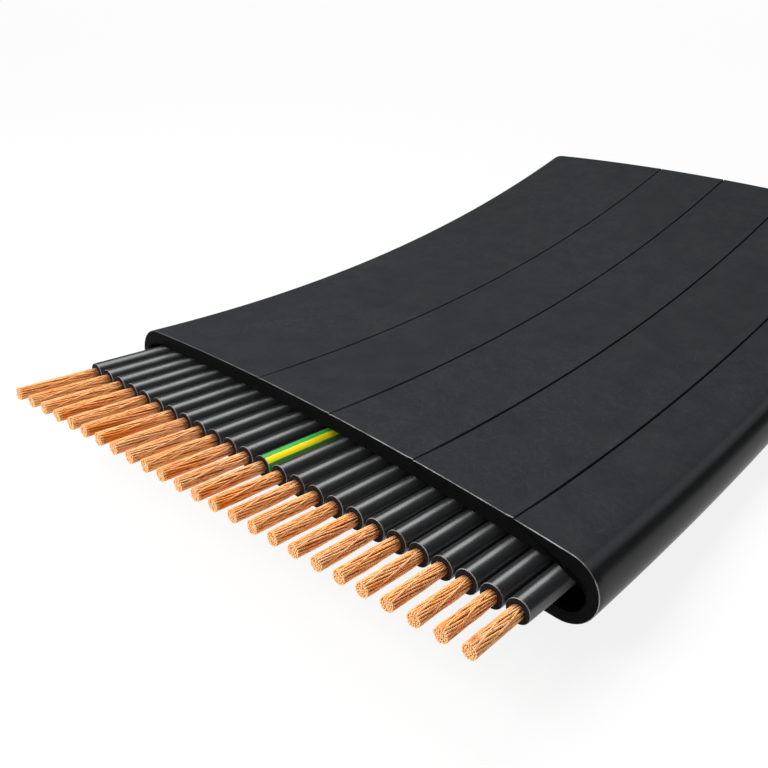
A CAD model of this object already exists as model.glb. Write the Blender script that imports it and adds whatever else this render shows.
"""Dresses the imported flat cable: sheath, insulated cores, stranded copper, light and camera."""

import logging
import math
import random
from collections.abc import Callable, Iterable, Iterator
from contextlib import contextmanager
from dataclasses import dataclass
from enum import Enum, IntEnum

import bmesh
import bpy
from mathutils import Matrix, Vector


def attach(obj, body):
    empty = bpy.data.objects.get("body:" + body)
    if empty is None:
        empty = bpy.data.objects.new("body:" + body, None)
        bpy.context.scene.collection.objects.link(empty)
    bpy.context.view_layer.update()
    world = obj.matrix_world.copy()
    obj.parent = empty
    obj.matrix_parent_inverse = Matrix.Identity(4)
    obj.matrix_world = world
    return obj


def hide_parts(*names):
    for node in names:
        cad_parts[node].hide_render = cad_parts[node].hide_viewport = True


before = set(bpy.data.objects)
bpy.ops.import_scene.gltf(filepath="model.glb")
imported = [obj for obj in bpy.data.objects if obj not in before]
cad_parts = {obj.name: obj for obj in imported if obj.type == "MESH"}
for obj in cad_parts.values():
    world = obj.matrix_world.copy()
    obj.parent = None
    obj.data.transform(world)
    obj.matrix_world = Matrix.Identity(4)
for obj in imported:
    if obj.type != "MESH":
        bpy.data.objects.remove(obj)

LOG = logging.getLogger("flat_cable")
METRES_PER_MM = 0.001
BODY = "root"

# Lengths in millimetres below which two vertices are one, in a finished mesh and in a drawn wire
MERGE_LEN = 1e-4
CLOSE_LEN = 1e-3
# Angle in radians below which two places along the bow are the same
SAME_ANGLE = 1e-4
# Angle in radians above which an edge of the plastics stays sharp
PLASTIC_SHARP = math.radians(28)
# Place in millimetres along Y in front of which a vertex belongs to the front end of a core
FRONT_END = -1.0

X_AXIS = Vector((1.0, 0.0, 0.0))
Y_AXIS = Vector((0.0, 1.0, 0.0))
Z_AXIS = Vector((0.0, 0.0, 1.0))

Piece = bpy.types.Object
Socket = bpy.types.NodeSocket
Span = tuple[float, float]
Triple = tuple[float, float, float]
Number = Socket | float
Value = Socket | Triple | float
PartTest = Callable[..., bool]


class Slot(Enum):
    """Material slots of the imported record."""

    SHEATH = "sheath"
    CORE = "core_insulation"
    EARTH = "earth_insulation"
    COPPER = "copper"


class MeshPart(Enum):
    """Kinds of mesh elements, each with the name of its list in a mesh."""

    VERT = "verts"
    EDGE = "edges"
    FACE = "faces"


class Blend(Enum):
    """What a mix node mixes: its data type, the input of its first value and its output."""

    NUMBER = ("FLOAT", 2, 0)
    COLOUR = ("RGBA", 6, 2)


class Surface(IntEnum):
    """Material places of the faces of the sheath and of the insulation."""

    WALL = 0
    EDGE = 1
    CUT = 2


@dataclass(frozen=True)
class CableSizes:
    """Sizes of the cable in millimetres, as its solids have them.

    Pieces are modelled in the mouth's own frame: the mouth is the plane y = 0, the row of cores
    is at z = 0 and comes out towards -y, and the bow runs back and up about the X axis.
    """

    core_count: int = 25
    core_pitch: float = 3.8
    insulation_r: float = 1.8
    conductor_r: float = 0.95
    tip_spread: float = 0.2
    swell: float = 0.35
    insulated_len: float = 11.2
    bare_len: float = 12.1
    trim_slant: float = math.radians(3.0)
    rim_round: float = 0.13
    sheath_len: float = 146.0
    sheath_half: float = 51.7
    sheath_top: float = 6.5
    sheath_bottom: float = -5.75
    mouth_half: float = 49.95
    mouth_top: float = 4.0
    mouth_bottom: float = -3.85
    mouth_depth: float = 18.0
    crown: float = 1.8
    groove_places: tuple[float, ...] = (-14.9, 2.75, 20.4, 38.05)
    bend_r: float = 440.0
    rest_share: float = 0.47

    @property
    def middle(self) -> int:
        """Number of the core in the middle of the row."""
        return (self.core_count + 1) // 2

    @property
    def sheath_angle(self) -> float:
        """Angle of the bow from the mouth to the far cut, in radians."""
        return self.sheath_len / self.bend_r

    @property
    def mouth_angle(self) -> float:
        """Angle of the bow from the mouth to the back of its pocket, in radians."""
        return self.mouth_depth / self.bend_r

    @property
    def rest_angle(self) -> float:
        """Angle by which the mouth is raised where the cable lies, in radians."""
        return self.rest_share * self.sheath_angle

    @property
    def bow_centre(self) -> Vector:
        """Centre of the bow in the mouth's frame."""
        return Vector((0.0, 0.0, self.bend_r))

    def core_x(self, number: int) -> float:
        """Place of a core across the cable."""
        return (number - self.middle) * self.core_pitch

    def insulated(self, number: int) -> float:
        """Insulated length of a core beyond the mouth."""
        return self.insulated_len - self.core_x(number) * math.tan(self.trim_slant)

    def bare(self, number: int) -> float:
        """Bare length of a conductor beyond its insulation."""
        return self.bare_len - self.core_x(number) * math.tan(self.trim_slant)

    def bare_r(self, share: float) -> float:
        """Radius of a bare end at a share of its length, which swells soon after the insulation."""
        return self.conductor_r + self.tip_spread * max(0.0, share) ** self.swell

    def is_at(self, point: Vector, angle: float) -> bool:
        """Whether a point of the mouth's frame lies at an angle along the bow."""
        return abs(math.atan2(point.y, self.bend_r - point.z) - angle) < SAME_ANGLE

    def bow_height(self, point: Vector) -> float:
        """Height of a point over the row of cores, square to the bow."""
        return self.bend_r - math.hypot(point.y, self.bend_r - point.z)

    def lying(self) -> Matrix:
        """Turns the mouth's frame in millimetres to the row's frame in metres.

        Returns:
            The matrix that lays a finished piece where its solid lies.
        """
        rest = self.rest_angle
        longest = self.insulated(1) + self.bare(1)
        tip_r = self.conductor_r + self.tip_spread
        front = -(self.bend_r + tip_r) * math.sin(rest) - longest * math.cos(rest)
        back = (self.bend_r - self.sheath_bottom) * math.sin(self.sheath_angle - rest)
        place = Vector((
            0.0,
            -self.bend_r * math.sin(rest) - (front + back) / 2,
            self.bend_r * (1 - math.cos(rest)) - self.sheath_bottom,
        ))
        turned = Matrix.Translation(place) @ Matrix.Rotation(-rest, 4, "X")
        return Matrix.Scale(METRES_PER_MM, 4) @ turned


SIZES = CableSizes()


class Bench:
    """Handles the selection and the modes that the modelling operators work on."""

    @staticmethod
    def pick(*pieces: Piece) -> None:
        """Selects these objects alone and makes the first one active.

        Args:
            pieces: The objects to select.
        """
        bpy.ops.object.select_all(action="DESELECT")
        for piece in pieces:
            piece.select_set(True)
        bpy.context.view_layer.objects.active = pieces[0]

    @staticmethod
    @contextmanager
    def editing(piece: Piece) -> Iterator[None]:
        """Keeps a piece in edit mode for the length of a with block, all of it selected at first.

        Args:
            piece: The mesh object to edit.
        """
        Bench.pick(piece)
        bpy.ops.object.mode_set(mode="EDIT")
        bpy.ops.mesh.select_mode(type="VERT")
        bpy.ops.mesh.select_all(action="SELECT")
        yield
        bpy.ops.object.mode_set(mode="OBJECT")

    @staticmethod
    def select(piece: Piece, kind: MeshPart, test: PartTest) -> None:
        """Selects in edit mode the elements of one kind that pass a test.

        Args:
            piece: The mesh object in edit mode.
            kind: Whether vertices, edges or faces are tested.
            test: Says of an element whether it is selected.
        """
        bpy.ops.mesh.select_mode(type=kind.name)
        bpy.ops.mesh.select_all(action="DESELECT")
        mesh = bmesh.from_edit_mesh(piece.data)
        for part in getattr(mesh, kind.value):
            if test(part):
                part.select_set(True)
        if kind is MeshPart.VERT:
            mesh.select_flush(True)
        bmesh.update_edit_mesh(piece.data)

    @staticmethod
    def spin(angle: float, centre: Vector, axis: Vector, steps: int) -> None:
        """Sweeps the selection about an axis, by the right-hand rule.

        Args:
            angle: Angle of the sweep, in radians.
            centre: A point of the axis.
            axis: Direction of the axis.
            steps: Number of steps along the sweep.
        """
        bpy.ops.mesh.spin(steps=steps, angle=-angle, center=centre, axis=axis)

    @staticmethod
    def along_bow(angle: float, steps: int) -> None:
        """Sweeps the selection back along the bow."""
        Bench.spin(angle, SIZES.bow_centre, X_AXIS, steps)

    @staticmethod
    def face_outwards() -> None:
        """Merges the doubles of the mesh in edit mode and turns all its faces outwards."""
        bpy.ops.mesh.select_all(action="SELECT")
        bpy.ops.mesh.remove_doubles(threshold=MERGE_LEN)
        bpy.ops.mesh.normals_make_consistent(inside=False)

    @staticmethod
    def assign(piece: Piece, index: int) -> None:
        """Gives the selected faces of a piece in edit mode the material at an index."""
        piece.active_material_index = index
        bpy.ops.object.material_slot_assign()

    @staticmethod
    def smooth(piece: Piece, sharp: float) -> None:
        """Shades a piece smooth, apart from edges above an angle in radians."""
        Bench.pick(piece)
        bpy.ops.object.shade_smooth_by_angle(angle=sharp)

    @staticmethod
    def circle(name: str, sides: int, radius: float, place: Vector, filled: bool = True) -> Piece:
        """Adds a circle that stands upright, square to Y.

        Args:
            name: Name of the object.
            sides: Number of straight sides.
            radius: Radius of the circle.
            place: Centre of the circle.
            filled: Whether a face fills the circle.

        Returns:
            The circle, with its place in its mesh.
        """
        bpy.ops.object.select_all(action="DESELECT")
        bpy.ops.mesh.primitive_circle_add(
            vertices=sides,
            radius=radius,
            fill_type="NGON" if filled else "NOTHING",
            rotation=(math.pi / 2, 0.0, 0.0),
            location=place,
        )
        piece = bpy.context.object
        piece.name = name
        bpy.ops.object.transform_apply(location=True, rotation=True, scale=True)
        return piece

    @staticmethod
    def copy(piece: Piece, name: str) -> Piece:
        """Copies a piece together with its mesh.

        Args:
            piece: The object to copy.
            name: Name of the copy.

        Returns:
            The copy, which is the active object.
        """
        Bench.pick(piece)
        bpy.ops.object.duplicate(linked=False)
        made = bpy.context.object
        made.name = name
        return made

    @staticmethod
    def join(*pieces: Piece) -> Piece:
        """Joins objects into the first of them.

        Args:
            pieces: The objects to join.

        Returns:
            The joined object.
        """
        Bench.pick(*pieces)
        bpy.ops.object.join()
        return bpy.context.object

    @staticmethod
    def drop(*pieces: Piece) -> None:
        """Deletes objects that were only models for copies."""
        Bench.pick(*pieces)
        bpy.ops.object.delete()

    @staticmethod
    def trim(piece: Piece, number: int) -> None:
        """Moves the front end of a copy to where its core's insulation is trimmed.

        Args:
            piece: A copy of a piece that was modelled for the middle core.
            number: Number of the core that the copy is for.
        """
        longer = SIZES.insulated(number) - SIZES.insulated_len
        with Bench.editing(piece):
            Bench.select(piece, MeshPart.VERT, lambda vert: vert.co.y < FRONT_END)
            bpy.ops.transform.translate(value=(0.0, -longer, 0.0))

    @staticmethod
    def move(piece: Piece, matrix: Matrix) -> None:
        """Moves a piece by a matrix and puts its new place into its mesh.

        Args:
            piece: The object to move.
            matrix: Move, turn and stretch without shear.
        """
        piece.matrix_world = matrix @ piece.matrix_world
        Bench.pick(piece)
        bpy.ops.object.transform_apply(location=True, rotation=True, scale=True)

    @staticmethod
    def lay(piece: Piece, x: float, slot: Slot, node: str) -> None:
        """Lays a finished piece where its solid lies and lets it stand for that solid.

        Args:
            piece: The finished piece, in the mouth's frame.
            x: Place across the cable that it goes to.
            slot: Material slot that the piece takes its finish from.
            node: CAD node that the piece stands for.
        """
        Bench.move(piece, SIZES.lying() @ Matrix.Translation(x * X_AXIS))
        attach(piece, BODY)
        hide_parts(node)
        LOG.info("%s: %d faces", piece.name, len(piece.data.polygons))


class ProfilePen:
    """Draws a wire in edit mode, one corner or arc at a time."""

    def __init__(self, name: str, start: Vector) -> None:
        """Starts a new object with one vertex.

        Args:
            name: Name of the object.
            start: Place of the first vertex.
        """
        bpy.ops.object.select_all(action="DESELECT")
        bpy.ops.mesh.primitive_plane_add(size=1.0, location=start)
        self.piece: Piece = bpy.context.object
        self.piece.name = name
        bpy.ops.object.transform_apply(location=True, rotation=False, scale=False)
        bpy.ops.object.mode_set(mode="EDIT")
        bpy.ops.mesh.select_mode(type="VERT")
        bpy.ops.mesh.select_all(action="SELECT")
        bpy.ops.mesh.merge(type="CENTER")
        self.place: Vector = start.copy()

    def line(self, point: Vector) -> None:
        """Draws a straight line to a point."""
        bpy.ops.mesh.extrude_vertices_move(TRANSFORM_OT_translate={"value": point - self.place})
        self.place = point.copy()

    def arc(self, angle: float, centre: Vector, axis: Vector, steps: int) -> None:
        """Draws an arc by the right-hand rule.

        Args:
            angle: Angle of the arc, in radians.
            centre: Centre of the arc.
            axis: Axis through the centre.
            steps: Number of straight steps.
        """
        Bench.spin(angle, centre, axis, steps)
        self.place = centre + Matrix.Rotation(angle, 3, axis) @ (self.place - centre)

    def lift(self, closed: bool) -> Piece:
        """Ends the drawing.

        Args:
            closed: Whether the last point joins the first one.

        Returns:
            The object that holds the wire.
        """
        bpy.ops.mesh.select_all(action="SELECT")
        if closed:
            bpy.ops.mesh.remove_doubles(threshold=CLOSE_LEN)
        bpy.ops.object.mode_set(mode="OBJECT")
        return self.piece


@dataclass(frozen=True)
class CrownedOutline:
    """Flat underside, half-round edges and a crowned roof that runs smoothly into them."""

    half_w: float
    top: float
    bottom: float
    edge_steps: int = 20
    floor_steps: int = 16

    @property
    def edge_r(self) -> float:
        """Radius of the half-round edges."""
        return (self.top - SIZES.crown - self.bottom) / 2

    @property
    def edge_centre(self) -> Vector:
        """Centre of the right-hand edge."""
        return Vector((self.half_w - self.edge_r, 0.0, self.bottom + self.edge_r))

    @property
    def roof_r(self) -> float:
        """Radius of the roof."""
        reach = self.half_w - self.edge_r
        drop = self.edge_r + SIZES.crown
        return (reach**2 + drop**2 - self.edge_r**2) / (2 * SIZES.crown)

    @property
    def roof_centre(self) -> Vector:
        """Centre of the roof's arc."""
        return Vector((0.0, 0.0, self.top - self.roof_r))

    @property
    def blend(self) -> float:
        """Angle above +X at which an edge runs into the roof."""
        run = self.edge_centre - self.roof_centre
        return math.atan2(run.z, run.x)

    def roof_point(self, x: float, rise: float = 0.0) -> Vector:
        """Point of the roof at a place across the cable.

        Args:
            x: Place across the cable.
            rise: Height of the point over the roof, along its normal.

        Returns:
            The point in the plane of the mouth.
        """
        slope = math.acos(x / self.roof_r)
        reach = self.roof_r + rise
        return self.roof_centre + reach * Vector((math.cos(slope), 0.0, math.sin(slope)))

    def draw(self, name: str, roof: Iterable[Vector]) -> Piece:
        """Draws the outline as a closed wire.

        Args:
            name: Name of the new object.
            roof: Points of the roof from right to left, between the ends of its arc.

        Returns:
            The object that holds the wire.
        """
        right = self.edge_centre
        left = Vector((-right.x, 0.0, right.z))
        sweep = math.pi / 2 + self.blend
        pen = ProfilePen(name, Vector((right.x, 0.0, self.bottom)))
        pen.arc(-sweep, right, Y_AXIS, self.edge_steps)
        for point in roof:
            pen.line(point)
        pen.line(left + self.edge_r * Vector((-math.cos(self.blend), 0.0, math.sin(self.blend))))
        pen.arc(-sweep, left, Y_AXIS, self.edge_steps)
        for step in range(1, self.floor_steps + 1):
            share = 2 * step / self.floor_steps - 1
            pen.line(Vector((right.x * share, 0.0, self.bottom)))
        return pen.lift(closed=True)


@dataclass(frozen=True)
class Grain:
    """One layer of noise, even in all directions or drawn out along some of them.

    An even layer has so many cells in a metre. A drawn-out one has cells of so many metres along
    X, Y and Z. The span holds the two values of the noise between which it counts.
    """

    detail: float
    span: Span = (0.0, 1.0)
    cells: float = 1.0
    drawn: Triple | None = None
    fineness: float = 0.5


class NodeBoard:
    """Lays out the nodes of one tree."""

    def __init__(self, tree: bpy.types.NodeTree) -> None:
        """Takes the tree that the nodes go into."""
        self.tree = tree

    def add(self, kind: str, **settings: object) -> bpy.types.Node:
        """Adds a node.

        Args:
            kind: Blender's name of the node type.
            settings: Properties of the node.

        Returns:
            The new node.
        """
        node = self.tree.nodes.new(kind)
        for name, value in settings.items():
            setattr(node, name, value)
        return node

    def join(self, source: Socket, target: Socket) -> None:
        """Links one socket to another."""
        self.tree.links.new(source, target)

    def feed(self, target: Socket, value: Value) -> None:
        """Links a socket to a target, or sets the target to a colour or a number.

        Args:
            target: The socket that takes the value.
            value: Another socket, a colour without its alpha, or a number.
        """
        if isinstance(value, Socket):
            self.join(value, target)
        elif isinstance(value, tuple):
            target.default_value = (*value, 1.0)
        else:
            target.default_value = value

    def place(self, matrix: Matrix | None = None) -> Socket:
        """Object coordinates, in metres or brought into another frame.

        Args:
            matrix: That frame in the row's frame: a move, a turn and a stretch along its axes.

        Returns:
            The vector socket.
        """
        source = self.add("ShaderNodeTexCoord").outputs["Object"]
        if matrix is None:
            return source
        node = self.add("ShaderNodeMapping", vector_type="TEXTURE")
        node.inputs["Location"].default_value = matrix.to_translation()
        node.inputs["Rotation"].default_value = matrix.to_euler("XYZ")
        node.inputs["Scale"].default_value = matrix.to_scale()
        self.join(source, node.inputs["Vector"])
        return node.outputs["Vector"]

    def axes(self, vector: Socket) -> tuple[Socket, Socket, Socket]:
        """Splits a vector into its parts.

        Args:
            vector: The vector socket.

        Returns:
            The sockets of X, Y and Z.
        """
        node = self.add("ShaderNodeSeparateXYZ")
        self.join(vector, node.inputs["Vector"])
        return tuple(node.outputs)

    def noise(self, grain: Grain, turn: float = 0.0) -> Socket:
        """Noise of a layer, before its span is taken.

        Args:
            grain: The layer.
            turn: Angle about Z by which a drawn-out layer is turned, in radians.

        Returns:
            The value socket.
        """
        cell = None
        if grain.drawn is not None:
            cell = Matrix.Rotation(turn, 4, "Z") @ Matrix.Diagonal((*grain.drawn, 1.0))
        node = self.add("ShaderNodeTexNoise")
        node.inputs["Scale"].default_value = grain.cells
        node.inputs["Detail"].default_value = grain.detail
        node.inputs["Roughness"].default_value = grain.fineness
        self.join(self.place(cell), node.inputs["Vector"])
        return node.outputs["Fac"]

    def ranged(self, value: Socket, span: Span, into: Span = (0.0, 1.0)) -> Socket:
        """Brings a value from one range smoothly into another.

        Args:
            value: The value to bring over.
            span: First and last value that count.
            into: Values at the two ends of the span.

        Returns:
            The value socket.
        """
        node = self.add("ShaderNodeMapRange", interpolation_type="SMOOTHSTEP")
        names = ("From Min", "From Max", "To Min", "To Max")
        for name, number in zip(names, (*span, *into)):
            node.inputs[name].default_value = number
        self.join(value, node.inputs["Value"])
        return node.outputs["Result"]

    def layer(self, grain: Grain, into: Span = (0.0, 1.0), turn: float = 0.0) -> Socket:
        """Noise of a layer, brought from its span into a range."""
        return self.ranged(self.noise(grain, turn), grain.span, into)

    def math(self, operation: str, first: Number, second: Number = 0.0) -> Socket:
        """Joins two values by a math operation.

        Args:
            operation: Name of the operation.
            first: First value or socket.
            second: Second value or socket, which some operations don't need.

        Returns:
            The value socket.
        """
        node = self.add("ShaderNodeMath", operation=operation)
        self.feed(node.inputs[0], first)
        self.feed(node.inputs[1], second)
        return node.outputs["Value"]

    def hypotenuse(self, first: Socket, second: Socket) -> Socket:
        """Length of the diagonal over two values."""
        squares = (self.math("MULTIPLY", value, value) for value in (first, second))
        return self.math("SQRT", self.math("ADD", *squares))

    def mixed(self, share: Socket, first: Value, second: Value, blend: Blend = Blend.COLOUR) -> Socket:
        """Mixes two colours or two numbers.

        Args:
            share: Share of the second value.
            first: Value at share 0.
            second: Value at share 1.
            blend: Whether colours or numbers are mixed.

        Returns:
            The socket of the mixed value.
        """
        data_type, first_input, output = blend.value
        node = self.add("ShaderNodeMix", data_type=data_type)
        self.join(share, node.inputs["Factor"])
        self.feed(node.inputs[first_input], first)
        self.feed(node.inputs[first_input + 1], second)
        return node.outputs[output]


class FinishBoard(NodeBoard):
    """Lays out the nodes of one procedural material."""

    def __init__(self, name: str) -> None:
        """Starts a material with a principled surface.

        Args:
            name: Name of the material.
        """
        self.material: bpy.types.Material = bpy.data.materials.new(name)
        self.material.use_nodes = True
        super().__init__(self.material.node_tree)
        self.surface: bpy.types.Node = self.tree.nodes["Principled BSDF"]

    def set(self, **values: float) -> None:
        """Sets constant values on the surface, with _ for the spaces of a socket's name."""
        for name, value in values.items():
            self.surface.inputs[name.replace("_", " ")].default_value = value

    def bump(self, height: Socket, distance: float, strength: float) -> None:
        """Raises the surface by a height map.

        Args:
            height: Height between 0 and 1.
            distance: Full height, in metres.
            strength: Share of the bump that shows.
        """
        node = self.add("ShaderNodeBump")
        node.inputs["Distance"].default_value = distance
        node.inputs["Strength"].default_value = strength
        self.join(height, node.inputs["Height"])
        self.join(node.outputs["Normal"], self.surface.inputs["Normal"])

    def paint(self, colour: Socket, roughness: Number) -> bpy.types.Material:
        """Gives the surface its colour and roughness.

        Args:
            colour: Colour socket.
            roughness: Roughness socket, or one roughness all over.

        Returns:
            The finished material.
        """
        self.join(colour, self.surface.inputs["Base Color"])
        self.feed(self.surface.inputs["Roughness"], roughness)
        return self.material


@dataclass(frozen=True)
class SheathFinish:
    """Matt black sheathing: soft mottle, faint hair scratches, worn shoulders and glossier flanks.

    Places where one gives way to the next are distances from the middle of the cable, in metres.
    """

    dark: Triple = (0.0219, 0.0236, 0.0259)
    light: Triple = (0.0266, 0.0284, 0.0305)
    scratch: Triple = (0.080, 0.084, 0.090)
    flank: Triple = (0.0115, 0.0119, 0.0125)
    mottle: Grain = Grain(detail=4.0, span=(0.3, 0.7), cells=190.0, fineness=0.65)
    strokes: Grain = Grain(detail=1.0, span=(0.62, 0.74), drawn=(0.0026, 0.00012, 0.006))
    stroke_turns: tuple[float, ...] = (0.35, 1.25, 2.2, 2.85)
    patches: Grain = Grain(detail=2.0, span=(0.35, 0.65), cells=45.0)
    patch_shares: Span = (0.15, 1.0)
    scratch_tone: float = 0.22
    scratch_depth: float = 0.5
    pores: Grain = Grain(detail=3.0, cells=2600.0)
    relief: float = 0.00004
    relief_share: float = 0.30
    dullness: Grain = Grain(detail=3.0, span=(0.25, 0.75), cells=160.0)
    roughness: Span = (0.84, 0.92)
    smooth_from: Span = (0.0480, 0.0493)
    smooth_share: float = 0.29
    shoulder_from: Span = (0.0482, 0.0489)
    shoulder_wear: float = 0.26
    flank_from: Span = (0.0492, 0.0500)
    flank_gloss: float = 0.22

    def scratches(self, board: FinishBoard) -> Socket:
        """Short hair scratches, laid over each other in several directions.

        Args:
            board: The material's node board.

        Returns:
            Strength of the scratches, 0 to 1.
        """
        total: Number = 0.0
        for turn in self.stroke_turns:
            total = board.math("MAXIMUM", total, board.layer(self.strokes, turn=turn))
        return board.math("MULTIPLY", total, board.layer(self.patches, self.patch_shares))

    def worn(self, board: FinishBoard, reach: Socket, colour: Socket) -> Socket:
        """Adds the pale wear along the shoulders and the deeper black of the flanks below them.

        Args:
            board: The material's node board.
            reach: Distance of a point from the middle of the cable.
            colour: Colour of the top.

        Returns:
            The colour socket.
        """
        shoulder = board.ranged(reach, self.shoulder_from, (0.0, self.shoulder_wear))
        colour = board.mixed(shoulder, colour, self.scratch)
        return board.mixed(board.ranged(reach, self.flank_from), colour, self.flank)

    def make(self) -> bpy.types.Material:
        """Builds the material.

        Returns:
            The material.
        """
        board = FinishBoard("sheath_satin_black")
        x, _, _ = board.axes(board.place())
        reach = board.math("ABSOLUTE", x)
        hairs = self.scratches(board)
        colour = board.mixed(board.layer(self.mottle), self.dark, self.light)
        faint = board.math("MULTIPLY", hairs, self.scratch_tone)
        colour = self.worn(board, reach, board.mixed(faint, colour, self.scratch))
        scuffed = board.ranged(reach, self.smooth_from, (1.0, self.smooth_share))
        cuts = board.math("MULTIPLY", hairs, self.scratch_depth)
        height = board.math("SUBTRACT", board.noise(self.pores), cuts)
        board.bump(board.math("MULTIPLY", height, scuffed), self.relief, self.relief_share)
        board.set(Specular_IOR_Level=0.02, Coat_Roughness=0.28, Coat_IOR=2.0)
        gloss = board.ranged(reach, self.flank_from, (0.0, self.flank_gloss))
        board.join(gloss, board.surface.inputs["Coat Weight"])
        rough = board.layer(self.dullness, self.roughness)
        return board.paint(colour, board.math("MULTIPLY", rough, scuffed))


@dataclass(frozen=True)
class CutFinish:
    """Matte face left by a blade in dark plastic, with faint drag lines."""

    name: str
    dark: Triple
    light: Triple
    drag: Grain = Grain(detail=3.0, span=(0.3, 0.7), drawn=(0.0009, 0.004, 0.00025))
    relief: float = 0.00003
    relief_share: float = 0.5
    roughness: Span = (0.72, 0.85)

    def make(self) -> bpy.types.Material:
        """Builds the material.

        Returns:
            The material.
        """
        board = FinishBoard(self.name)
        lines = board.noise(self.drag)
        colour = board.mixed(board.ranged(lines, self.drag.span), self.dark, self.light)
        board.bump(lines, self.relief, self.relief_share)
        board.set(Specular_IOR_Level=0.06)
        return board.paint(colour, board.ranged(lines, self.drag.span, self.roughness))


@dataclass(frozen=True)
class EdgeFinish:
    """Pale scuffed line along a cut edge, stronger and weaker along its run.

    From right to left across the cable, in metres, it can fade to a share of its strength.
    """

    name: str
    dark: Triple
    pale: Triple
    left_share: float = 1.0
    fading: Span = (-0.03, 0.045)
    scuffs: Grain = Grain(detail=3.0, span=(0.3, 0.65), cells=420.0)
    relief: float = 0.00002
    relief_share: float = 0.3
    roughness: Span = (0.5, 0.38)

    def make(self) -> bpy.types.Material:
        """Builds the material.

        Returns:
            The material.
        """
        board = FinishBoard(self.name)
        x, _, _ = board.axes(board.place())
        kept = board.ranged(x, self.fading, (self.left_share, 1.0))
        scuff = board.math("MULTIPLY", board.layer(self.scuffs), kept)
        board.bump(scuff, self.relief, self.relief_share)
        board.set(Specular_IOR_Level=0.6)
        colour = board.mixed(scuff, self.dark, self.pale)
        return board.paint(colour, board.ranged(scuff, (0.0, 1.0), self.roughness))


@dataclass(frozen=True)
class InsulationFinish:
    """Black core insulation with faint drawing lines and a gloss that is drawn out along the core."""

    dark: Triple = (0.0076, 0.0082, 0.0092)
    light: Triple = (0.0105, 0.0113, 0.0127)
    drawing: Grain = Grain(detail=3.0, span=(0.35, 0.65), drawn=(0.00025, 0.009, 0.00025))
    relief: float = 0.00001
    relief_share: float = 0.12
    rough_span: Span = (0.3, 0.7)
    roughness: Span = (0.42, 0.46)

    def draw(self, board: FinishBoard) -> tuple[Socket, Socket]:
        """Draws the fine lines along a core into its colour and its relief.

        Args:
            board: The material's node board.

        Returns:
            The black colour, and the lines' strength from 0 to 1.
        """
        lines = board.noise(self.drawing)
        board.bump(lines, self.relief, self.relief_share)
        return board.mixed(board.ranged(lines, self.drawing.span), self.dark, self.light), lines

    def make(self) -> bpy.types.Material:
        """Builds the material.

        Returns:
            The material.
        """
        board = FinishBoard("core_black")
        colour, lines = self.draw(board)
        board.set(Specular_IOR_Level=1.0, IOR=1.6, Anisotropic=0.95, Anisotropic_Rotation=0.25)
        round_core = board.add("ShaderNodeTangent", direction_type="RADIAL", axis="Y")
        board.join(round_core.outputs["Tangent"], board.surface.inputs["Tangent"])
        return board.paint(colour, board.ranged(lines, self.rough_span, self.roughness))


@dataclass(frozen=True)
class EarthFinish:
    """Earth core: black, with green, yellow and green bands along its upper right side.

    Angles round the core are in degrees, 0 towards +X and 90 upwards.
    """

    green: Triple = (0.036, 0.36, 0.060)
    yellow: Triple = (1.0, 0.80, 0.010)
    green_band: Span = (-30.0, 101.0)
    yellow_band: Span = (37.0, 71.0)
    soft_edge: float = 1.5
    wandering: Grain = Grain(detail=2.0, cells=300.0)
    wander_middle: float = 0.5
    wander_angle: float = 6.0
    roughness: Span = (0.42, 0.50)
    black: InsulationFinish = InsulationFinish()

    def angle(self, board: FinishBoard) -> Socket:
        """Angle round the core's own axis, which follows the bow behind the mouth.

        Args:
            board: The material's node board.

        Returns:
            The angle, a little uneven along the core.
        """
        x, y, z = board.axes(board.place(SIZES.lying()))
        run = board.math("MAXIMUM", y, 0.0)
        below = board.math("SUBTRACT", SIZES.bend_r, z)
        height = board.math("SUBTRACT", SIZES.bend_r, board.hypotenuse(run, below))
        degrees = board.math("MULTIPLY", board.math("ARCTAN2", height, x), math.degrees(1.0))
        uneven = board.math("SUBTRACT", board.noise(self.wandering), self.wander_middle)
        return board.math("ADD", degrees, board.math("MULTIPLY", uneven, self.wander_angle))

    def band(self, board: FinishBoard, angle: Socket, limits: Span) -> Socket:
        """Mask of one band between two angles.

        Args:
            board: The material's node board.
            angle: Angle round the core.
            limits: First and last angle of the band.

        Returns:
            The mask, with soft edges.
        """
        first, last = ((limit - self.soft_edge, limit + self.soft_edge) for limit in limits)
        return board.math("MULTIPLY", board.ranged(angle, first), board.ranged(angle, last, (1.0, 0.0)))

    def make(self) -> bpy.types.Material:
        """Builds the material.

        Returns:
            The material.
        """
        board = FinishBoard("core_earth")
        colour, lines = self.black.draw(board)
        angle = self.angle(board)
        colour = board.mixed(self.band(board, angle, self.green_band), colour, self.green)
        colour = board.mixed(self.band(board, angle, self.yellow_band), colour, self.yellow)
        board.set(Specular_IOR_Level=0.25)
        return board.paint(colour, board.ranged(lines, self.black.rough_span, self.roughness))


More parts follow.
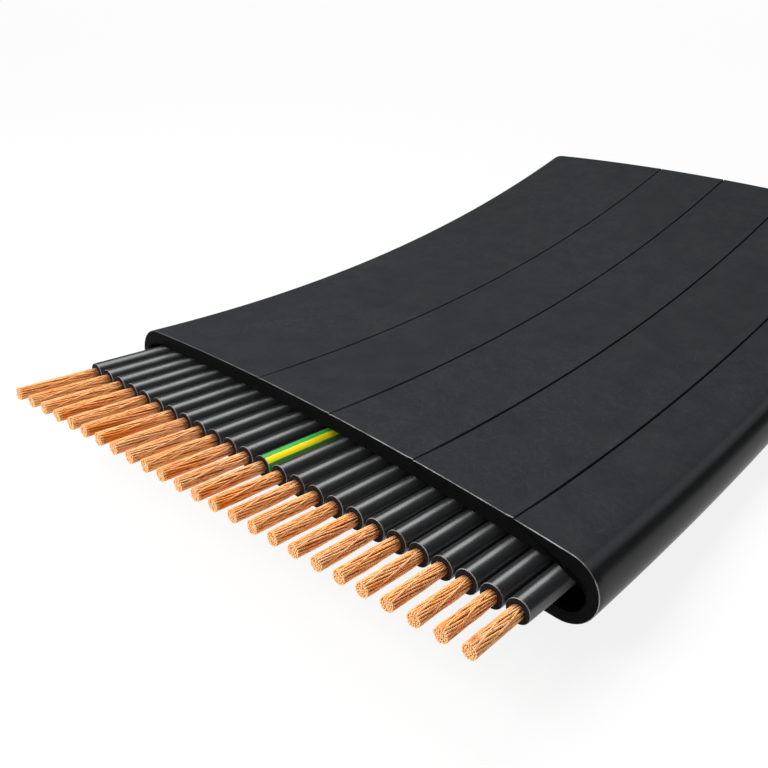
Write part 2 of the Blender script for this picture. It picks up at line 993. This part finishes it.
@dataclass(frozen=True)
class CopperFinish:
    """Bright copper strands, each with its own tone: streaked, dark between them and at the insulation.

    Places along a conductor are shares of its bare length, 0 at the insulation and 1 at the tip.
    Depths are shares of its radius.
    """

    pale: Triple = (0.90, 0.54, 0.275)
    deep: Triple = (0.95, 0.465, 0.150)
    shaded: Triple = (0.86, 0.24, 0.007)
    sunk: Triple = (0.17, 0.035, 0.005)
    streak: Triple = (0.42, 0.085, 0.004)
    between_strands: Span = (0.81, 0.96)
    tip_from: Span = (0.955, 0.975)
    streaks: Grain = Grain(detail=2.0, span=(0.55, 0.66), drawn=(0.00018, 0.0030, 0.00018))
    streak_share: float = 0.70
    sunk_from: Span = (-2.0, -1.0)
    sunk_until: Span = (-0.05, 0.15)
    sunk_share: float = 0.95
    tarnish: Grain = Grain(detail=2.0, span=(0.3, 0.7), cells=900.0)
    roughness: Span = (0.36, 0.48)

    def along(self, board: FinishBoard, x: Socket, y: Socket) -> Socket:
        """Place of a point along its conductor's bare length.

        Args:
            board: The material's node board.
            x: Place across the cable in the mouth's frame.
            y: Place along the cable in the mouth's frame.

        Returns:
            The share of the bare length, from the insulation to the tip.
        """
        slanted = board.math("MULTIPLY", x, math.tan(SIZES.trim_slant))
        reach = board.math("SUBTRACT", slanted, y)
        bare = board.math("SUBTRACT", SIZES.bare_len, slanted)
        return board.math("DIVIDE", board.math("SUBTRACT", reach, SIZES.insulated_len), bare)

    def depth(self, board: FinishBoard, x: Socket, z: Socket, share: Socket) -> Socket:
        """How far out from its conductor's axis a point lies.

        Args:
            board: The material's node board.
            x: Place across the cable in the mouth's frame.
            z: Height over the row of cores in the mouth's frame.
            share: Share of the bare length, from the insulation to the tip.

        Returns:
            0 deep between the strands, 1 on their outermost line.
        """
        number = board.math("ROUND", board.math("DIVIDE", x, SIZES.core_pitch))
        beside = board.math("SUBTRACT", x, board.math("MULTIPLY", number, SIZES.core_pitch))
        grown = board.math("POWER", board.math("MAXIMUM", share, 0.0), SIZES.swell)
        spread = board.math("MULTIPLY", grown, SIZES.tip_spread)
        full = board.math("ADD", spread, SIZES.conductor_r)
        out = board.math("DIVIDE", board.hypotenuse(beside, z), full)
        return board.ranged(out, self.between_strands)

    def make(self) -> bpy.types.Material:
        """Builds the material.

        Returns:
            The material.
        """
        board = FinishBoard("copper_strands")
        x, y, z = board.axes(board.place(SIZES.lying()))
        share = self.along(board, x, y)
        at_tip = board.ranged(share, self.tip_from)
        strand = board.add("ShaderNodeNewGeometry").outputs["Random Per Island"]
        colour = board.mixed(strand, self.deep, self.pale)
        open_air = board.math("MAXIMUM", self.depth(board, x, z, share), at_tip)
        colour = board.mixed(open_air, self.shaded, colour)
        streaks = board.layer(self.streaks, (0.0, self.streak_share))
        streaks = board.math("MULTIPLY", streaks, board.math("SUBTRACT", 1.0, at_tip))
        colour = board.mixed(streaks, colour, self.streak)
        sunk = board.ranged(share, self.sunk_until, (self.sunk_share, 0.0))
        sunk = board.math("MULTIPLY", board.ranged(share, self.sunk_from), sunk)
        colour = board.mixed(sunk, colour, self.sunk)
        board.set(Metallic=0.15, Specular_IOR_Level=0.30)
        return board.paint(colour, board.layer(self.tarnish, self.roughness))


@dataclass
class Sheath:
    """The flat sheath: grooved crowned top, open mouth, bores for the cores and two cut ends."""

    groove_w: float = 0.40
    groove_depth: float = 0.50
    waist_share: float = 0.55
    waist_depth: float = 0.10
    front_depth: float = 0.06
    fading_steps: int = 14
    fading_power: float = 1.5
    groove_reach: float = 0.06
    bead_w: float = 1.5
    bead_rises: tuple[float, ...] = (0.04, 0.06, 0.10, 0.13)
    bead_steps: int = 6
    roof_step: float = 2.4
    edge_round: float = 0.11
    edge_segments: int = 3
    cut_corners: int = 50
    bow_steps: int = 80
    pocket_steps: int = 10
    bore_steps: int = 12
    bore_sides: int = 48
    outer: CrownedOutline = CrownedOutline(SIZES.sheath_half, SIZES.sheath_top, SIZES.sheath_bottom)
    mouth: CrownedOutline = CrownedOutline(SIZES.mouth_half, SIZES.mouth_top, SIZES.mouth_bottom)

    def __post_init__(self) -> None:
        """Makes the three finishes, in the order of Surface."""
        edge = EdgeFinish(
            "sheath_edge", dark=(0.035, 0.036, 0.038), pale=(0.26, 0.265, 0.27), left_share=0.15
        )
        cut = CutFinish("sheath_cut", dark=(0.0016, 0.0016, 0.0017), light=(0.0033, 0.0033, 0.0035))
        self.finishes = (SheathFinish().make(), edge.make(), cut.make())

    def dress(self, piece: Piece, surface: Surface) -> None:
        """Gives a new stretch of the sheath its finish.

        Args:
            piece: The object that holds the stretch.
            surface: Material place of all its faces.
        """
        for finish in self.finishes:
            piece.data.materials.append(finish)
        with Bench.editing(piece):
            Bench.assign(piece, surface)

    def plain_roof(self, outline: CrownedOutline, start: float, end: float) -> list[Vector]:
        """Points of a stretch of plain roof, without its two ends.

        Args:
            outline: The outline that the roof belongs to.
            start: First place across the cable.
            end: Last place across the cable.

        Returns:
            The points from start to end.
        """
        steps = max(1, round(abs(end - start) / self.roof_step))
        return [outline.roof_point(start + (end - start) * k / steps) for k in range(1, steps)]

    def grooved_roof(self) -> list[Vector]:
        """Points of the sheath's top from right to left, with a groove and a rolled bead at each place.

        Returns:
            The points between the two rounded edges.
        """
        half = self.groove_w / 2
        waist = half * self.waist_share
        points: list[Vector] = []
        at = self.outer.edge_centre.x
        for x, bead_rise in reversed(list(zip(SIZES.groove_places, self.bead_rises))):
            points += self.plain_roof(self.outer, at, x + half)
            points += [
                self.outer.roof_point(x + half),
                self.outer.roof_point(x + waist, -self.waist_depth),
                self.outer.roof_point(x, -self.groove_depth),
                self.outer.roof_point(x - waist, -self.waist_depth),
            ]
            for step in range(self.bead_steps):
                share = step / self.bead_steps
                rise = bead_rise * math.cos(share * math.pi / 2) ** 2
                points.append(self.outer.roof_point(x - half - self.bead_w * share, rise))
            at = x - half - self.bead_w
            points.append(self.outer.roof_point(at))
        return points + self.plain_roof(self.outer, at, -self.outer.edge_centre.x)

    def skin(self) -> Piece:
        """Sweeps the grooved outline along the bow and rounds its two cut edges.

        Returns:
            The open skin of the sheath.
        """
        piece = self.outer.draw("sheath_skin", self.grooved_roof())
        with Bench.editing(piece):
            bpy.ops.mesh.edge_face_add()
            bpy.ops.mesh.select_all(action="SELECT")
            Bench.along_bow(SIZES.sheath_angle, self.bow_steps)
            Bench.face_outwards()
        self.dress(piece, Surface.WALL)
        with Bench.editing(piece):
            self.fade_grooves(piece)
            Bench.select(piece, MeshPart.EDGE, self.is_cut_edge)
            bpy.ops.mesh.bevel(
                offset=self.edge_round,
                segments=self.edge_segments,
                profile=0.5,
                affect="EDGES",
                clamp_overlap=False,
                material=Surface.EDGE,
            )
            Bench.select(piece, MeshPart.FACE, self.is_cut_face)
            bpy.ops.mesh.delete(type="ONLY_FACE")
        return piece

    def fade_grooves(self, piece: Piece) -> None:
        """Lifts the bottoms of the grooves towards the front cut, where they run out.

        Args:
            piece: The skin, in edit mode.
        """
        for step in range(self.fading_steps):
            angle = SIZES.sheath_angle * step / self.bow_steps
            share = 1 - step / self.fading_steps
            rise = (self.groove_depth - self.front_depth) * share**self.fading_power

            def is_bottom(vert: bmesh.types.BMVert, angle: float = angle) -> bool:
                """Whether a vertex lies at the bottom of a groove at this angle."""
                in_groove = any(abs(vert.co.x - x) < self.groove_reach for x in SIZES.groove_places)
                return in_groove and SIZES.bow_height(vert.co) > 0 and SIZES.is_at(vert.co, angle)

            Bench.select(piece, MeshPart.VERT, is_bottom)
            bpy.ops.transform.translate(value=(0.0, -rise * math.sin(angle), rise * math.cos(angle)))

    def is_cut_face(self, face: bmesh.types.BMFace) -> bool:
        """Whether a face is one of the two cut faces, which alone have many corners."""
        return len(face.verts) > self.cut_corners

    def is_cut_edge(self, edge: bmesh.types.BMEdge) -> bool:
        """Whether an edge runs round one of the two cut faces."""
        return len(edge.link_faces) == 2 and any(self.is_cut_face(face) for face in edge.link_faces)

    def pocket(self) -> Piece:
        """Sweeps the outline of the mouth back to the wall that the cores come through.

        Returns:
            The open wall of the pocket.
        """
        reach = self.mouth.edge_centre.x
        piece = self.mouth.draw("sheath_pocket", self.plain_roof(self.mouth, reach, -reach))
        with Bench.editing(piece):
            Bench.along_bow(SIZES.mouth_angle, self.pocket_steps)
        self.dress(piece, Surface.CUT)
        return piece

    def bores(self) -> Piece:
        """Sweeps one round bore for each core from the back of the pocket to the far cut.

        Returns:
            The open walls of the bores.
        """
        first = SIZES.core_x(1) * X_AXIS
        piece = Bench.circle("sheath_bores", self.bore_sides, SIZES.insulation_r, first, filled=False)
        with Bench.editing(piece):
            for _ in range(1, SIZES.core_count):
                bpy.ops.mesh.duplicate_move(TRANSFORM_OT_translate={"value": SIZES.core_pitch * X_AXIS})
            bpy.ops.mesh.select_all(action="SELECT")
            Bench.along_bow(SIZES.mouth_angle, 1)
            bpy.ops.mesh.select_all(action="INVERT")
            bpy.ops.mesh.delete(type="VERT")
            bpy.ops.mesh.select_all(action="SELECT")
            Bench.along_bow(SIZES.sheath_angle - SIZES.mouth_angle, self.bore_steps)
        self.dress(piece, Surface.CUT)
        return piece

    def build(self) -> None:
        """Joins skin, pocket and bores into one closed sheath and lays it."""
        piece = Bench.join(self.skin(), self.pocket(), self.bores())
        piece.name = "flat_sheath"

        def rim_at(angle: float) -> PartTest:
            """Test for the open rims at one angle of the bow."""
            return lambda edge: edge.is_boundary and all(SIZES.is_at(vert.co, angle) for vert in edge.verts)

        with Bench.editing(piece):
            Bench.select(piece, MeshPart.EDGE, rim_at(0.0))
            bpy.ops.mesh.bridge_edge_loops()
            Bench.assign(piece, Surface.CUT)
            for angle in (SIZES.mouth_angle, SIZES.sheath_angle):
                Bench.select(piece, MeshPart.EDGE, rim_at(angle))
                bpy.ops.mesh.fill(use_beauty=True)
                Bench.assign(piece, Surface.CUT)
            Bench.face_outwards()
        Bench.smooth(piece, PLASTIC_SHARP)
        Bench.lay(piece, 0.0, Slot.SHEATH, "sheath")


@dataclass
class InsulatedCores:
    """The insulation of all cores: one tube is modelled, then copied and trimmed for each core."""

    sides: int = 48
    rim_steps: int = 4
    bow_steps: int = 24
    cut_normal: float = 0.97

    def model(self) -> Piece:
        """Models the tube of the middle core.

        Returns:
            The tube, with its straight end along -Y.
        """
        inner, outer = SIZES.conductor_r, SIZES.insulation_r
        length, rim = SIZES.insulated_len, SIZES.rim_round
        pen = ProfilePen("core_model", Vector((inner, 0.0, 0.0)))
        pen.line(Vector((inner, -length, 0.0)))
        pen.line(Vector((outer - rim, -length, 0.0)))
        pen.arc(math.pi / 2, Vector((outer - rim, rim - length, 0.0)), Z_AXIS, self.rim_steps)
        pen.line(Vector((outer, 0.0, 0.0)))
        piece = pen.lift(closed=False)
        with Bench.editing(piece):
            Bench.spin(2 * math.pi, Vector(), Y_AXIS, self.sides)
            bpy.ops.mesh.select_all(action="SELECT")
            bpy.ops.mesh.remove_doubles(threshold=CLOSE_LEN)
            Bench.select(piece, MeshPart.EDGE, lambda edge: edge.is_boundary)
            Bench.along_bow(SIZES.sheath_angle, self.bow_steps)
            Bench.select(piece, MeshPart.EDGE, lambda edge: edge.is_boundary)
            bpy.ops.mesh.bridge_edge_loops()
            Bench.face_outwards()
        return piece

    def dress(self, piece: Piece) -> None:
        """Gives wall, rim and cut faces their materials.

        Args:
            piece: The model tube.
        """
        edge = EdgeFinish("core_edge", dark=(0.05, 0.052, 0.056), pale=(0.19, 0.195, 0.20))
        cut = CutFinish("core_cut", dark=(0.0100, 0.0076, 0.0080), light=(0.0160, 0.0124, 0.0128))
        for finish in (InsulationFinish(), edge, cut):
            piece.data.materials.append(finish.make())
        behind_rim = SIZES.rim_round - SIZES.insulated_len

        def is_rim(face: bmesh.types.BMFace) -> bool:
            """Whether a face belongs to the rounded rim."""
            return face.calc_center_median().y < behind_rim and face.normal.y > -self.cut_normal

        def is_cut(face: bmesh.types.BMFace) -> bool:
            """Whether a face belongs to one of the two cut rings."""
            at_far_end = SIZES.is_at(face.calc_center_median(), SIZES.sheath_angle)
            return at_far_end or face.normal.y < -self.cut_normal

        with Bench.editing(piece):
            for surface, test in ((Surface.EDGE, is_rim), (Surface.CUT, is_cut)):
                Bench.select(piece, MeshPart.FACE, test)
                Bench.assign(piece, surface)
        Bench.smooth(piece, PLASTIC_SHARP)

    def build(self) -> None:
        """Builds, dresses and lays the tubes of all cores."""
        model = self.model()
        self.dress(model)
        earth = EarthFinish().make()
        for number in range(1, SIZES.core_count + 1):
            piece = Bench.copy(model, f"core_{number:02d}_insulation")
            Bench.trim(piece, number)
            slot, node = Slot.CORE, f"insulation_{number:02d}"
            if number == SIZES.middle:
                slot, node = Slot.EARTH, "earth_insulation"
                piece.data.materials[Surface.WALL] = earth
            Bench.lay(piece, SIZES.core_x(number), slot, node)
        Bench.drop(model)


@dataclass
class StrandedConductors:
    """The copper: bundles of fine strands at the bare ends, rods inside and cut strands at the back."""

    strand_r: float = 0.148
    rings: int = 3
    ring_growth: int = 6
    ring_step: float = 0.267
    lay_len: float = 85.0
    sway: float = 0.38
    sway_range: Span = (0.4, 1.0)
    pace_range: Span = (0.6, 1.2)
    tightening: int = 4
    lift: float = 0.04
    uneven_tips: float = 0.14
    long_steps: int = 8
    short_steps: int = 4
    stray_count: int = 5
    stray_scatter: float = 0.3
    stray_lay: float = -48.0
    filler_r: float = 0.56
    filler_overlap: float = 0.3
    bundle_kinds: int = 6
    sunk: float = 1.5
    short_len: float = 2.0
    stub_len: float = 0.6
    stub_sides: int = 6
    rod_sides: int = 24
    rod_gap: float = 0.02
    back_normal: float = 0.9
    bow_steps: int = 24
    lean_angle: float = 0.8
    bundle_sharp: float = math.radians(50)
    rod_sharp: float = math.radians(40)
    seed: int = 11

    def strand_places(self) -> list[tuple[int, float]]:
        """Ring and angle of each strand of a bundle.

        Returns:
            One entry for each strand, from the middle outwards.
        """
        places = [(0, 0.0)]
        for ring in range(1, self.rings + 1):
            count = self.ring_growth * ring
            places += [(ring, 2 * math.pi * k / count) for k in range(count)]
        return places

    def strand(self, points: list[Vector]) -> Piece:
        """Draws one strand as a path with a round section.

        Args:
            points: Control points of the path, five or nine.

        Returns:
            The path.
        """
        bpy.ops.object.select_all(action="DESELECT")
        bpy.ops.curve.primitive_nurbs_path_add()
        path = bpy.context.object
        if len(points) > len(path.data.splines[0].points):
            bpy.ops.object.mode_set(mode="EDIT")
            bpy.ops.curve.select_all(action="SELECT")
            bpy.ops.curve.subdivide(number_cuts=1)
            bpy.ops.object.mode_set(mode="OBJECT")
        for control, point in zip(path.data.splines[0].points, points, strict=True):
            control.co = (*point, 1.0)
        path.data.splines[0].order_u = 3
        path.data.bevel_depth = self.strand_r
        path.data.bevel_resolution = 2
        path.data.resolution_u = 1
        path.data.use_fill_caps = True
        return path

    def route(self, draw: random.Random, ring: int, angle: float, lay: float, rise: float) -> list[Vector]:
        """Control points of one strand from inside its insulation to its tip.

        Args:
            draw: Seeded source of the disorder.
            ring: Ring of the bundle, 0 in the middle; the innermost strands are short.
            angle: Angle of the strand round the bundle, at the insulation.
            lay: Length in which the strand turns once, negative the other way.
            rise: Height over its ring at which the strand lies.

        Returns:
            The points, nine for a long strand and five for a short one.
        """
        full = SIZES.bare_len
        is_long = ring >= self.rings - 1
        start = self.sunk if is_long else self.short_len - full
        steps = self.long_steps if is_long else self.short_steps
        tip = -full + draw.uniform(0.0, self.uneven_tips)
        apart = 2 * math.pi / (self.ring_growth * self.rings)
        sideways = self.sway * draw.uniform(*self.sway_range) * apart
        pace = draw.uniform(*self.pace_range)
        phase = draw.uniform(0.0, 2 * math.pi)
        points = []
        for step in range(steps + 1):
            y = start + (tip - start) * step / steps
            share = max(0.0, -y / full)
            wave = 2 * math.pi * pace * share + phase
            loose = 1 - share**self.tightening if ring == self.rings else 0.0
            turn = angle - 2 * math.pi * y / lay + sideways * loose * math.sin(wave)
            grown = SIZES.bare_r(share) / SIZES.conductor_r
            reach = ring * self.ring_step * grown + loose * (rise + self.lift * math.cos(wave))
            points.append(Vector((reach * math.cos(turn), y, reach * math.sin(turn))))
        return points

    def bundle(self, kind: int) -> Piece:
        """Models one bundle of strands, with its rim at y = 0 and its tip towards -y.

        Args:
            kind: Number of the bundle, which seeds its disorder.

        Returns:
            The bundle as one mesh.
        """
        draw = random.Random(self.seed + kind)
        paths = [
            self.strand(self.route(draw, ring, angle, self.lay_len, 0.0))
            for ring, angle in self.strand_places()
        ]
        for stray in range(self.stray_count):
            scatter = draw.uniform(-self.stray_scatter, self.stray_scatter)
            angle = 2 * math.pi * (stray + scatter) / self.stray_count
            paths.append(self.strand(self.route(draw, self.rings, angle, self.stray_lay, self.lift)))
        Bench.pick(*paths)
        bpy.ops.object.convert(target="MESH")
        piece = Bench.join(*paths)
        piece.name = f"bundle_model_{kind}"
        filler_end = self.short_len - SIZES.bare_len - self.filler_overlap
        piece = Bench.join(piece, self.rod("bundle_filler", self.filler_r, self.sunk, filler_end))
        Bench.smooth(piece, self.bundle_sharp)
        return piece

    def rod(self, name: str, radius: float, start: float, end: float) -> Piece:
        """Models a straight round rod along Y, closed at both ends.

        Args:
            name: Name of the object.
            radius: Radius of the rod.
            start: Place of its back end.
            end: Place of its front end.

        Returns:
            The rod.
        """
        piece = Bench.circle(name, self.rod_sides, radius, start * Y_AXIS)
        with Bench.editing(piece):
            bpy.ops.mesh.extrude_region_move(TRANSFORM_OT_translate={"value": (end - start) * Y_AXIS})
            Bench.face_outwards()
        return piece

    def hidden_run(self) -> Piece:
        """Models the part inside the insulation: a rod along the bow and the cut strands at its end.

        Returns:
            The run, with its front end inside the insulation's rim.
        """
        radius = SIZES.conductor_r - self.rod_gap
        run = self.rod("run_model", radius, 0.0, self.sunk - SIZES.insulated_len)
        stop = SIZES.sheath_angle - self.stub_len / SIZES.bend_r
        with Bench.editing(run):
            Bench.select(run, MeshPart.FACE, lambda face: face.normal.y > self.back_normal)
            Bench.along_bow(stop, self.bow_steps)
            Bench.face_outwards()
        run = Bench.join(run, self.stubs())
        Bench.smooth(run, self.rod_sharp)
        return run

    def stubs(self) -> Piece:
        """Models the cut strands that show in the far cut.

        Returns:
            The short strands, in their place at the end of the bow.
        """
        piece = Bench.circle("stub_model", self.stub_sides, self.strand_r, Vector())
        with Bench.editing(piece):
            place = Vector()
            for ring, angle in self.strand_places()[1:]:
                reach = ring * self.ring_step
                target = Vector((reach * math.cos(angle), 0.0, reach * math.sin(angle)))
                bpy.ops.mesh.duplicate_move(TRANSFORM_OT_translate={"value": target - place})
                place = target
            bpy.ops.mesh.select_all(action="SELECT")
            bpy.ops.mesh.extrude_region_move(TRANSFORM_OT_translate={"value": -self.stub_len * Y_AXIS})
            Bench.face_outwards()
        centre = Matrix.Translation(SIZES.bow_centre)
        Bench.move(piece, centre @ Matrix.Rotation(SIZES.sheath_angle, 4, "X") @ centre.inverted())
        return piece

    def build(self) -> None:
        """Builds, dresses and lays the conductors of all cores."""
        copper = CopperFinish().make()
        kinds = [self.bundle(kind) for kind in range(self.bundle_kinds)]
        run_model = self.hidden_run()
        draw = random.Random(self.seed)
        for number in range(1, SIZES.core_count + 1):
            bare = Bench.copy(kinds[number % self.bundle_kinds], f"bare_{number:02d}")
            rim = Matrix.Translation(-SIZES.insulated(number) * Y_AXIS)
            stretch = Matrix.Diagonal((1.0, SIZES.bare(number) / SIZES.bare_len, 1.0, 1.0))
            lean = Matrix.Rotation(math.radians(draw.uniform(-self.lean_angle, self.lean_angle)), 4, "Z")
            roll = Matrix.Rotation(draw.uniform(0.0, 2 * math.pi), 4, "Y")
            Bench.move(bare, rim @ lean @ stretch @ roll)
            run = Bench.copy(run_model, f"run_{number:02d}")
            Bench.trim(run, number)
            piece = Bench.join(bare, run)
            piece.name = f"core_{number:02d}_copper"
            piece.data.materials.append(copper)
            Bench.lay(piece, SIZES.core_x(number), Slot.COPPER, f"conductor_{number:02d}")
        Bench.drop(run_model, *kinds)


@dataclass(frozen=True)
class Lamp:
    """One soft rectangular lamp that points at the cable."""

    name: str
    place: Triple
    size: Span
    power: float

    def hang(self, aim: Vector) -> None:
        """Hangs the lamp and points it.

        Args:
            aim: Point that the lamp looks at.
        """
        light = bpy.data.lights.new(self.name, "AREA")
        light.shape = "RECTANGLE"
        light.size, light.size_y = self.size
        light.energy = self.power
        holder = bpy.data.objects.new(self.name, light)
        bpy.context.scene.collection.objects.link(holder)
        holder.location = self.place
        back = (Vector(self.place) - aim).normalized()
        across = Y_AXIS.cross(back).normalized()
        holder.rotation_euler = Matrix((across, back.cross(across), back)).transposed().to_euler()


@dataclass(frozen=True)
class Studio:
    """Pale floor, soft lamps, white surroundings and the photograph's camera.

    The camera's place and directions are in the mouth's frame, in millimetres. The surroundings
    vary with the directions they are seen in, as parts of a unit vector.
    """

    floor_size: float = 8.0
    floor_tone: float = 0.80
    floor_white: float = 0.86
    floor_mottle: float = 0.005
    floor_grain: Grain = Grain(detail=2.0, cells=3.0)
    ambient: Span = (0.14, 0.38)
    ambient_span: Span = (-0.25, 0.9)
    sky: float = 0.16
    sky_span: Span = (0.05, 0.8)
    front: float = 0.50
    front_span: Span = (0.0, -0.5)
    camera_place: Triple = (81.904, -76.586, 63.570)
    camera_right: Triple = (0.723812, 0.686750, 0.066866)
    camera_down: Triple = (0.335502, -0.265608, -0.903820)
    focal_px: float = 789.6
    frame_px: float = 768.0
    sensor_mm: float = 36.0
    nearest: float = 0.005
    lamp_aim: Triple = (0.0, 0.0, 0.01)
    lamps: tuple[Lamp, ...] = (
        Lamp("overhead_softbox", place=(-0.90, 0.90, 1.64), size=(1.16, 2.40), power=33.0),
        Lamp("front_softbox", place=(-0.10, -0.25, 0.28), size=(0.16, 0.16), power=1.25),
    )

    def floor(self) -> None:
        """Makes the pale floor, white to the camera and in reflections, with the cable's shadow on it."""
        bpy.ops.object.select_all(action="DESELECT")
        bpy.ops.mesh.primitive_plane_add(size=self.floor_size, location=(0.0, 0.0, 0.0))
        piece = bpy.context.object
        piece.name = "pale_floor"
        board = FinishBoard("pale_floor")
        low = (self.floor_tone - self.floor_mottle,) * 3
        high = (self.floor_tone + self.floor_mottle,) * 3
        board.set(Specular_IOR_Level=0.2)
        path = board.add("ShaderNodeLightPath").outputs
        seen = board.math("MAXIMUM", path["Is Camera Ray"], path["Is Glossy Ray"])
        seen = board.math("MAXIMUM", seen, path["Is Transmission Ray"])
        blend = board.add("ShaderNodeMixShader")
        board.join(board.math("MULTIPLY", seen, self.floor_white), blend.inputs["Fac"])
        board.join(board.surface.outputs["BSDF"], blend.inputs[1])
        board.join(board.add("ShaderNodeEmission").outputs["Emission"], blend.inputs[2])
        board.join(blend.outputs["Shader"], board.tree.nodes["Material Output"].inputs["Surface"])
        colour = board.mixed(board.noise(self.floor_grain), low, high)
        piece.data.materials.append(board.paint(colour, roughness=0.9))

    def surroundings(self) -> None:
        """Makes the surroundings: white to the camera, a soft light that is stronger from the upper left.

        Gloss sees a dim sky there and a brighter front, so that black surfaces stay black.
        """
        world = bpy.data.worlds.new("white_room")
        bpy.context.scene.world = world
        world.use_nodes = True
        board = NodeBoard(world.node_tree)
        back = world.node_tree.nodes["Background"].inputs
        back["Color"].default_value = (1.0, 1.0, 1.0, 1.0)
        x, y, z = board.axes(board.add("ShaderNodeTexCoord").outputs["Generated"])
        upper_left = board.math("SUBTRACT", z, x)
        ambient = board.ranged(upper_left, self.ambient_span, self.ambient)
        sky = board.ranged(upper_left, self.sky_span, (0.0, self.sky))
        front = board.ranged(y, self.front_span, (0.0, self.front))
        path = board.add("ShaderNodeLightPath").outputs
        mirrored = board.math("MAXIMUM", sky, front)
        strength = board.mixed(path["Is Glossy Ray"], ambient, mirrored, Blend.NUMBER)
        strength = board.mixed(path["Is Camera Ray"], strength, 1.0, Blend.NUMBER)
        board.join(strength, back["Strength"])

    def camera(self) -> None:
        """Sets up the camera at the photograph's place and angle."""
        data = bpy.data.cameras.new("photo_camera")
        data.sensor_width = self.sensor_mm
        data.lens = self.sensor_mm * self.focal_px / self.frame_px
        data.clip_start = self.nearest
        holder = bpy.data.objects.new("photo_camera", data)
        bpy.context.scene.collection.objects.link(holder)
        right = Vector(self.camera_right).normalized()
        forward = right.cross(Vector(self.camera_down)).normalized()
        up = right.cross(forward)
        turned = Matrix((right, up, -forward)).transposed().to_4x4()
        stand = SIZES.lying() @ Matrix.Translation(self.camera_place) @ turned
        holder.matrix_world = Matrix.LocRotScale(stand.to_translation(), stand.to_quaternion(), None)
        bpy.context.scene.camera = holder

    def build(self) -> None:
        """Builds the floor, the surroundings, the lamps and the camera."""
        self.floor()
        self.surroundings()
        for lamp in self.lamps:
            lamp.hang(Vector(self.lamp_aim))
        self.camera()
        bpy.context.scene.view_settings.view_transform = "Standard"


def main() -> None:
    logging.basicConfig(level=logging.INFO, format="%(name)s: %(message)s")
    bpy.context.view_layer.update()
    Sheath().build()
    InsulatedCores().build()
    StrandedConductors().build()
    Studio().build()


if __name__ == "__main__":
    main()
